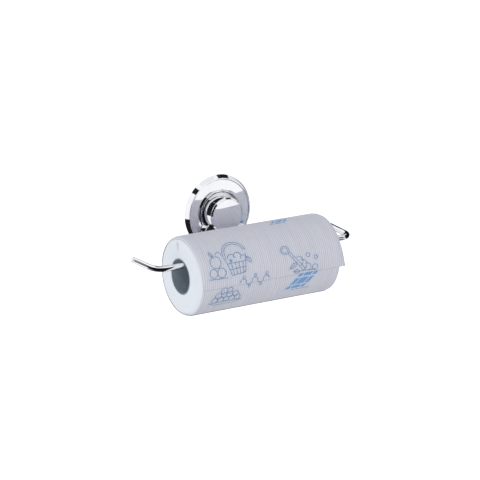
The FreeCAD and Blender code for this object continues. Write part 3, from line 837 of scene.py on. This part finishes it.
def grip_tree(material):
    """Fine radial ribs and sealing rings on the wall side of the suction pad."""
    tree, entry, leave = geometry_tree(
        "Pad grip", counts=("Ribs", "Rings"), floats=("Rib size", "Ring radius", "Ring step", "Ring depth"),
        vectors=("Rib start", "Rib end"))
    line = tree.add("GeometryNodeCurvePrimitiveLine", inputs={
        "Start": entry["Rib start"], "End": entry["Rib end"]})
    rib = swept(tree, line, 6, entry["Rib size"], True)
    middle = tree.add("GeometryNodeMeshLine", mode="OFFSET", inputs={"Count": entry["Ribs"]})
    middle.inputs["Offset"].default_value = (0.0, 0.0, 0.0)
    index = tree.add("GeometryNodeInputIndex").outputs[0]
    turn = tree.math("DIVIDE", tree.times(index, 2 * math.pi), entry["Ribs"])
    fan = tree.add("GeometryNodeInstanceOnPoints", inputs={
        "Points": middle.outputs[0], "Instance": rib.outputs[0], "Rotation": tree.joined(Y=turn)})
    circle = tree.add("GeometryNodeCurvePrimitiveCircle", inputs={"Resolution": 160, "Radius": 1.0})
    upright = tree.add("GeometryNodeTransform", inputs={"Geometry": circle.outputs[0]})
    upright.inputs["Rotation"].default_value = (math.pi / 2, 0.0, 0.0)
    row = tree.add("GeometryNodeMeshLine", mode="OFFSET", inputs={"Count": entry["Rings"]})
    row.inputs["Offset"].default_value = (0.0, 0.0, 0.0)
    lifted = tree.add("GeometryNodeSetPosition", inputs={
        "Geometry": row.outputs[0], "Offset": tree.joined(Y=tree.times(entry["Ring depth"], -1.0))})
    radius = tree.plus(entry["Ring radius"], tree.times(index, entry["Ring step"]))
    rings = tree.add("GeometryNodeInstanceOnPoints", inputs={
        "Points": lifted.outputs[0], "Instance": upright.outputs[0],
        "Scale": tree.joined(X=radius, Y=1.0, Z=radius)})
    loose = tree.add("GeometryNodeRealizeInstances", inputs={"Geometry": rings.outputs[0]})
    beads = swept(tree, loose, 6, entry["Rib size"], False)
    end_tree(tree, leave, [entry["Geometry"], fan.outputs[0], beads.outputs[0]], material)
    return tree


# Operators


class HOLDER_OT_stage(bpy.types.Operator):
    """Makes the pale floor, the soft studio light and the camera"""

    bl_idname = "towel_holder.stage"
    bl_label = "Stage"

    def execute(self, context):
        scene = context.scene
        scene.view_settings.view_transform = "Standard"
        scene.view_settings.look = "None"
        self.camera(scene)
        self.floor(scene)
        self.lights(scene)
        self.surroundings(scene)
        self.flags()
        return {"FINISHED"}

    def camera(self, scene):
        right = Vector((0.8524, -0.5229, 0.0)).normalized()
        ahead = Vector((0.5017, 0.8178, -0.2820)).normalized()
        up = right.cross(ahead).normalized()
        aim = Vector((0.0214, -0.0264, -0.0386))
        data = bpy.data.cameras.new("view")
        data.lens = 179.8
        data.sensor_width = 36.0
        data.clip_end = 100.0
        turn = Matrix((right, up, -ahead)).transposed().to_4x4()
        view = bpy.data.objects.new("view", data)
        view.matrix_world = Matrix.Translation(aim - ahead * 3.3337) @ turn
        scene.collection.objects.link(view)
        scene.camera = view

    def floor(self, scene):
        material, tree, shader, place = finish("pale floor")
        tone = tree.noise(place, 3.0, 4.0, 0.5)
        tree.put(shader.inputs["Base Color"], tree.mix(tone, (0.93, 0.93, 0.93), (0.96, 0.96, 0.96)))
        tree.put(shader.inputs["Roughness"], tree.remap(tone, 0.3, 0.7, 0.8, 0.9))
        shader.inputs["Emission Color"].default_value = (1.0, 1.0, 1.0, 1.0)
        shader.inputs["Emission Strength"].default_value = 0.6
        half, low = 6.0, -0.75
        corners = [(-half, -half, low), (half, -half, low), (half, half, low), (-half, half, low)]
        floor = mesh_piece("floor", corners, [(0, 1, 2, 3)], material)
        floor.visible_glossy = False
        floor.visible_diffuse = False

    def flags(self):
        """Upright black flags beside the rod, which only its chrome reflects."""
        material, tree, shader, place = finish("black felt")
        nap = tree.noise(place, 60.0, 2.0, 0.5)
        tree.put(shader.inputs["Base Color"], tree.mix(nap, (0.004, 0.004, 0.005), (0.012, 0.012, 0.014)))
        shader.inputs["Roughness"].default_value = 1.0
        shader.inputs["Specular IOR Level"].default_value = 0.0
        for name, ((x, y), (to_x, to_y), low, high) in BLACK_FLAGS.items():
            corners = [(x, y, low), (to_x, to_y, low), (to_x, to_y, high), (x, y, high)]
            flag = mesh_piece(name, corners, [(0, 1, 2, 3)], material)
            flag.visible_camera = False
            flag.visible_diffuse = False
            flag.visible_shadow = False
            flag.visible_transmission = False

    def light(self, scene, name, place, target, size, power, colour):
        data = bpy.data.lights.new(name, "AREA")
        data.shape = "DISK"
        data.size = size
        data.energy = power
        data.color = colour
        lamp = bpy.data.objects.new(name, data)
        away = Vector(target) - Vector(place)
        lamp.matrix_world = Matrix.Translation(place) @ away.to_track_quat("-Z", "Y").to_matrix().to_4x4()
        lamp.visible_glossy = False
        scene.collection.objects.link(lamp)

    def lights(self, scene):
        middle = tuple(ROLL_MIDDLE)
        self.light(scene, "key", (-2.3, -0.9, 0.15), middle, 1.4, 19.0, (1.0, 1.0, 1.0))
        self.light(scene, "fill", (0.9, -2.2, 0.1), middle, 1.8, 13.0, (1.0, 0.985, 1.0))

    def surroundings(self, scene):
        """White all round, with black cards that only show in the chrome."""
        world = bpy.data.worlds.new("studio")
        world.use_nodes = True
        scene.world = world
        tree = Tree(world.node_tree)
        back = world.node_tree.nodes["Background"]
        ray = tree.add("ShaderNodeTexCoord").outputs["Generated"]
        x, y, z = tree.split(tree.vector("NORMALIZE", ray))
        turn = tree.math("DEGREES", tree.math("ARCTAN2", x, y))
        rise = tree.math("DEGREES", tree.math("ARCSINE", z))
        dark, soft_edge = None, 1.5
        for centre, half, level, half_rise, darkness in DARK_CARDS.values():
            aside = tree.math("ABSOLUTE", tree.math("WRAP", tree.minus(turn, centre), 180.0, -180.0))
            above = tree.apart(rise, level)
            across = tree.remap(aside, half + soft_edge, half - soft_edge, smooth=True)
            upward = tree.remap(above, half_rise + soft_edge, half_rise - soft_edge, smooth=True)
            card = tree.times(tree.times(across, upward), darkness)
            dark = card if dark is None else tree.math("MAXIMUM", dark, card)
        shown = tree.mix(dark, (1.0, 1.0, 1.02), (0.012, 0.013, 0.018))
        path = tree.add("ShaderNodeLightPath").outputs
        behind = tree.remap(y, -0.6, 0.8, 0.52, 0.84)
        above = tree.remap(z, -1.0, 0.3, 0.9, 1.0)
        soft = tree.vector("SCALE", (0.98, 0.99, 1.03), scale=tree.times(behind, above))
        seen = tree.mix(path["Is Glossy Ray"], soft, shown)
        tree.put(back.inputs["Color"], tree.mix(path["Is Camera Ray"], seen, (1.0, 1.0, 1.0)))


class HOLDER_OT_effects(bpy.types.Operator):
    """Builds the effects that the finishes share"""

    bl_idname = "towel_holder.effects"
    bl_label = "Shared effects"

    def execute(self, context):
        make_handling_effect()
        make_scratch_effect()
        make_grain_effect()
        make_turning_effect()
        make_fibre_effect()
        make_unrolled_effect()
        make_emboss_effect()
        make_print_effect()
        return {"FINISHED"}


class HOLDER_OT_chrome(bpy.types.Operator):
    """Plates the housing, collar, bracket, knob and rod with chrome"""

    bl_idname = "towel_holder.chrome"
    bl_label = "Chrome parts"

    def execute(self, context):
        dress(CHROME_NODES, make_chrome())
        return {"FINISHED"}


class HOLDER_OT_fittings(bpy.types.Operator):
    """Finishes the fittings inside the mount"""

    bl_idname = "towel_holder.fittings"
    bl_label = "Inner fittings"

    def execute(self, context):
        dress(STEEL_NODES, make_zinc())
        dress(("knob_nut",), make_brass())
        black = make_moulded(
            "black plastic", (0.012, 0.012, 0.014), (0.03, 0.03, 0.034), 0.34, 0.5, 1200.0, 0.3)
        dress(("pressure_plate", "rod_bush"), black)
        white = make_moulded("white nylon", (0.78, 0.76, 0.7), (0.86, 0.85, 0.8), 0.42, 0.55, 900.0, 0.15)
        dress(("thrust_washer",), white)
        rubber = make_moulded(
            "black rubber", (0.01, 0.01, 0.01), (0.024, 0.023, 0.022), 0.6, 0.8, 1500.0, 0.4)
        dress(("hub_o_ring",), rubber)
        return {"FINISHED"}


class HOLDER_OT_suction_pad(bpy.types.Operator):
    """Moulds the soft suction pad with its release tab"""

    bl_idname = "towel_holder.suction_pad"
    bl_label = "Suction pad"

    def execute(self, context):
        outer = PAD_HIGH.z
        front = -PAD_LOW.y
        flange_radius = (FLANGE_HIGH.z - FLANGE_LOW.z) / 2 + 0.3 * MM
        pocket_back, pocket_front = -FLANGE_HIGH.y - 0.25 * MM, -FLANGE_LOW.y + 0.3 * MM
        stud_hole, middle = 0.0044, 0.0002
        # (depth, radius) round the section, from the stud's hole outwards and back along the wall side
        profile = [
            (front, stud_hole), (front, 0.0152), (front - 0.3 * MM, 0.016), (front - 1.0 * MM, 0.0163),
            (3.4 * MM, 0.0165), (2.5 * MM, 0.0172), (2.05 * MM, 0.0188), (1.95 * MM, 0.023),
            (1.9 * MM, 0.036), (1.8 * MM, 0.0455), (1.55 * MM, 0.0480), (1.2 * MM, outer - 0.7 * MM),
            (0.7 * MM, outer), (0.2 * MM, outer), (0.0, outer - 0.2 * MM), (0.0, 0.0488),
            (0.32 * MM, 0.0482), (0.42 * MM, 0.040), (0.7 * MM, 0.034), (1.2 * MM, 0.026),
            (1.9 * MM, 0.017), (2.35 * MM, 0.009), (2.45 * MM, middle),
            (pocket_back, middle), (pocket_back, flange_radius), (pocket_front, flange_radius),
            (pocket_front, stud_hole),
        ]
        tab_low, tab_half, tab_from = PAD_LOW.z, 0.008, 0.0492

        def place(depth, radius, angle):
            x, z = radius * math.cos(angle), radius * math.sin(angle)
            if radius > tab_from and z < 0 and abs(x) < tab_half:
                z = tab_low + tab_half - math.sqrt(tab_half ** 2 - x ** 2)
            return (x, -depth, z)

        points, faces = lathe(profile, 288, place)
        material = make_clear_pad()
        pad = mesh_piece("suction_pad_soft", points, faces, material)
        point_outwards(pad)
        ribs = {
            "Ribs": sizes().grip_ribs, "Rib size": 0.22 * MM,
            "Rib start": (0.0195, -1.62 * MM, 0.0), "Rib end": (0.0335, -0.68 * MM, 0.0),
            "Rings": 3, "Ring radius": 0.0405, "Ring step": 0.0026, "Ring depth": 0.4 * MM}
        run_geometry(pad, grip_tree(material), ribs)
        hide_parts("suction_pad")
        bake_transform(pad)
        return {"FINISHED"}


class HOLDER_OT_core(bpy.types.Operator):
    """Finishes the roll's core as spirally wound grey board"""

    bl_idname = "towel_holder.core"
    bl_label = "Core"

    def execute(self, context):
        dress(("core_tube",), make_board())
        return {"FINISHED"}


def soft_wave(x, angle, seed):
    """A smooth unevenness between about -1 and 1 that closes on itself round the roll."""
    return (
        math.sin(3 * angle + 31 * x + seed) + 0.6 * math.sin(5 * angle - 47 * x + 2 * seed)
        + 0.4 * math.sin(9 * angle + 83 * x + 3 * seed)
    ) / 2


class HOLDER_OT_paper_roll(bpy.types.Operator):
    """Winds the paper, with soft rounded ends and ridges of paper on them"""

    bl_idname = "towel_holder.paper_roll"
    bl_label = "Wound paper"

    def execute(self, context):
        rounding = sizes().edge_rounding
        left, right = PAPER_LOW.x, PAPER_HIGH.x
        inner = CORE_OUTER_RADIUS + 0.06 * MM
        steps = 10

        def corner(x_sign, x_end):
            arc = []
            for i in range(steps + 1):
                t = (math.pi / 2) * i / steps
                arc.append((
                    x_end - x_sign * rounding * (1 - math.sin(t)) * 0.9,
                    PAPER_RADIUS - rounding * (1 - math.cos(t))))
            return arc

        face_radii = np.linspace(inner + 0.8 * MM, PAPER_RADIUS - rounding, 9)[:-1]
        profile = [(left + 0.7 * MM, inner), (left + 0.12 * MM, inner + 0.4 * MM)]
        profile += [(left, r) for r in face_radii]
        profile += list(reversed(corner(-1, left)))
        profile += [(x, PAPER_RADIUS) for x in np.linspace(left + rounding, right - rounding, 42)[1:-1]]
        profile += corner(1, right)
        profile += [(right, r) for r in reversed(face_radii)]
        profile += [(right - 0.12 * MM, inner + 0.4 * MM), (right - 0.7 * MM, inner)]

        def place(x, radius, angle):
            share = (radius - inner) / (PAPER_RADIUS - inner)
            dent = 0.0
            if x < left + rounding:
                away = math.remainder(angle - DENT_ANGLE, 2 * math.pi)
                dent = 1.5 * MM * share * math.exp(-((away / DENT_WIDTH) ** 2))
                x += 0.3 * MM * share * (1 + soft_wave(0.0, angle, 0.4)) + dent
            elif x > right - rounding:
                x -= 0.3 * MM * share * (1 + soft_wave(0.0, angle, 1.9))
            r = radius - (share ** 4) * (0.12 * MM * (1 + soft_wave(x, angle, 0.9)) + 0.25 * dent)
            return roll_point(x, r, angle)

        points, faces = lathe(profile, 240, place)
        material = make_paper()
        roll = mesh_piece("wound_paper", points, faces, material)
        point_outwards(roll)
        run_geometry(roll, wound_edge_tree(material), {
            "Turns": float(sizes().wound_turns), "Inner radius": inner + 1.4 * MM,
            "Outer radius": PAPER_RADIUS - rounding - 0.5 * MM, "Ridge size": sizes().ridge_size,
            "Left end": (left + 0.42 * MM, ROLL_MIDDLE.y, ROLL_MIDDLE.z),
            "Length": (right - left - 0.84 * MM, 0.0, 0.0)})
        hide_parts("paper_roll")
        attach(roll, "roll")
        return {"FINISHED"}


def roll_point(x, radius, angle):
    """A point of the roll; the angle goes up and over from its level front."""
    return (x, ROLL_MIDDLE.y - radius * math.cos(angle), ROLL_MIDDLE.z + radius * math.sin(angle))


class HOLDER_OT_outer_sheet(bpy.types.Operator):
    """Lays the outermost sheet round the roll, a little skewed, with its free edge in front"""

    bl_idname = "towel_holder.outer_sheet"
    bl_label = "Outer sheet"

    def execute(self, context):
        s = sizes()
        base = PAPER_RADIUS + 0.12 * MM
        length = s.sheet_turn * base
        across, along = 76, 230
        skew_reach, turned_in_reach, loose_reach = 0.022, 0.020, 0.006
        outer, inner = [], []
        for i in range(along + 1):
            gone = length * i / along
            angle = s.free_edge + gone / base
            for j in range(across + 1):
                share = j / across
                x = PAPER_LOW.x + 0.5 * MM + s.sheet_width * share
                x += (s.overhang - 0.5 * MM) * math.exp(-gone / skew_reach)
                near_end = min(max((PAPER_LOW.x + s.edge_rounding - x) / s.edge_rounding, 0.0), 1.0)
                near_right = min(max((x - PAPER_HIGH.x + s.edge_rounding) / s.edge_rounding, 0.0), 1.0)
                sink = s.edge_rounding * (1 - math.sqrt(max(0.0, 1 - (0.92 * near_end) ** 2)))
                turned_in = 0.55 * s.edge_rounding * (1 - math.exp(-gone / turned_in_reach))
                sink += turned_in * (1 - math.sqrt(max(0.0, 1 - (0.9 * near_right) ** 2)))
                loose = (0.1 + 0.9 * share ** 6) * math.exp(-gone / loose_reach)
                lift = loose * (0.25 * MM + 0.12 * MM * (1 + soft_wave(x, 0.0, 2.2)))
                lift += 0.16 * MM * (1 + 0.4 * soft_wave(x, angle, 1.3))
                radius = base - sink + lift
                outer.append(roll_point(x, radius + s.sheet_thickness, angle))
                inner.append(roll_point(x, radius, angle))
        points = outer + inner
        wide, half = across + 1, len(outer)
        faces = []
        for i in range(along):
            for j in range(across):
                a, b, c, d = i * wide + j, i * wide + j + 1, (i + 1) * wide + j + 1, (i + 1) * wide + j
                faces.append((a, b, c, d))
                faces.append((half + a, half + d, half + c, half + b))
        for j in range(across):
            faces.append((j, half + j, half + j + 1, j + 1))
            top = along * wide + j
            faces.append((top, top + 1, half + top + 1, half + top))
        for i in range(along):
            a, d = i * wide, (i + 1) * wide
            faces.append((a, d, half + d, half + a))
            b, c = a + across, d + across
            faces.append((b, half + b, half + c, c))
        sheet = mesh_piece("outer_paper_sheet", points, faces, make_printed_sheet())
        point_outwards(sheet)
        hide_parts("outer_sheet")
        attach(sheet, "roll")
        return {"FINISHED"}


class HOLDER_PT_panel(bpy.types.Panel):
    """Lists the holder's pieces"""

    bl_idname = "HOLDER_PT_panel"
    bl_label = "Paper towel holder"
    bl_space_type = "VIEW_3D"
    bl_region_type = "UI"
    bl_category = "Towel holder"

    def draw(self, context):
        for operator in OPERATORS:
            self.layout.operator(operator.bl_idname, text=operator.bl_label)
        for settings in (context.scene.towel_holder_sizes, context.scene.towel_holder_colours):
            box = self.layout.box()
            for name in settings.bl_rna.properties.keys():
                if name not in ("rna_type", "name"):
                    box.prop(settings, name)


OPERATORS = (
    HOLDER_OT_effects, HOLDER_OT_stage, HOLDER_OT_chrome, HOLDER_OT_fittings, HOLDER_OT_suction_pad,
    HOLDER_OT_core, HOLDER_OT_paper_roll, HOLDER_OT_outer_sheet,
)
CLASSES = (HolderSizes, HolderColours, *OPERATORS, HOLDER_PT_panel)


def register():
    for cls in CLASSES:
        bpy.utils.register_class(cls)
    bpy.types.Scene.towel_holder_sizes = bpy.props.PointerProperty(type=HolderSizes)
    bpy.types.Scene.towel_holder_colours = bpy.props.PointerProperty(type=HolderColours)


def unregister():
    del bpy.types.Scene.towel_holder_sizes
    del bpy.types.Scene.towel_holder_colours
    for cls in reversed(CLASSES):
        bpy.utils.unregister_class(cls)


def main():
    register()
    bpy.ops.towel_holder.effects()
    bpy.ops.towel_holder.stage()
    bpy.ops.towel_holder.chrome()
    bpy.ops.towel_holder.fittings()
    bpy.ops.towel_holder.suction_pad()
    bpy.ops.towel_holder.core()
    bpy.ops.towel_holder.paper_roll()
    bpy.ops.towel_holder.outer_sheet()


if __name__ == "__main__":
    main()
